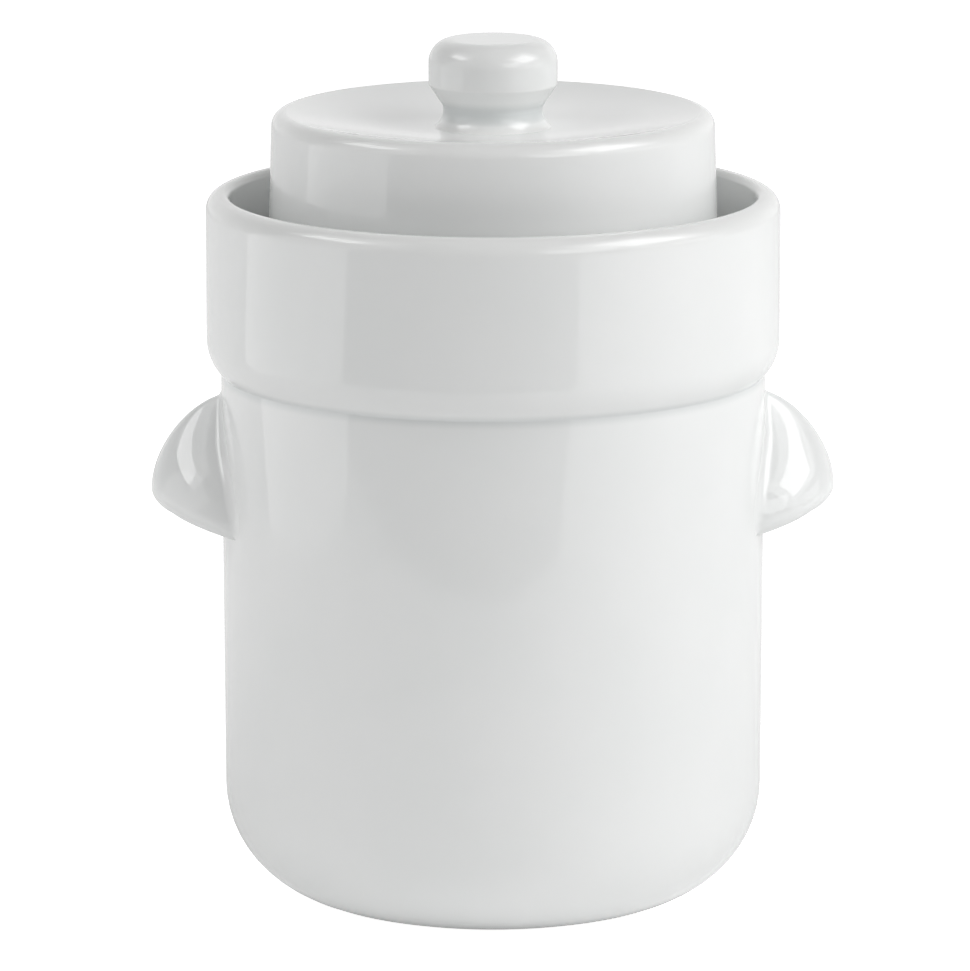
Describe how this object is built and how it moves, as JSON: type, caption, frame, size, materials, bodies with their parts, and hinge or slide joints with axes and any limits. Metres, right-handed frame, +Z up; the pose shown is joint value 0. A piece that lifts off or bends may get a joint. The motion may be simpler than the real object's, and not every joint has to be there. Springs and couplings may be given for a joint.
{
  "type": "fermentation crock",
  "caption": "White glazed water-seal fermentation crock: round pot with a wide gutter collar, lug handles, a bell lid with a knob standing in the gutter, and half-round weight stones inside.",
  "frame": {"origin": "on the crock's vertical axis, at the level of the bench it stands on", "axes": "+Z up along the axis of the pot and lid, +X towards the right handle, -Y towards the viewer of the picture"},
  "size_m": [0.2094, 0.175, 0.2652],
  "materials": {
    "pot_glaze": "glossy white glaze",
    "lid_glaze": "glossy white glaze",
    "weight_stoneware": "matt unglazed stoneware"
  },
  "bodies": {
    "crock": {"pot": "pot_glaze", "gutter_collar": "pot_glaze", "left_handle": "pot_glaze", "right_handle": "pot_glaze"},
    "lid": {"lid": "lid_glaze", "lid_knob": "lid_glaze"},
    "left_weight": {"left_weight": "weight_stoneware"},
    "right_weight": {"right_weight": "weight_stoneware"}
  },
  "joints": [
    {"name": "lid_lift", "type": "slide", "parent": "crock", "child": "lid", "axis": [0, 0, 1], "range_m": [0, 0.15]},
    {"name": "left_weight_lift", "type": "slide", "parent": "crock", "child": "left_weight", "axis": [0, 0, 1], "range_m": [0, 0.11]},
    {"name": "right_weight_lift", "type": "slide", "parent": "crock", "child": "right_weight", "axis": [0, 0, 1], "range_m": [0, 0.11]}
  ]
}
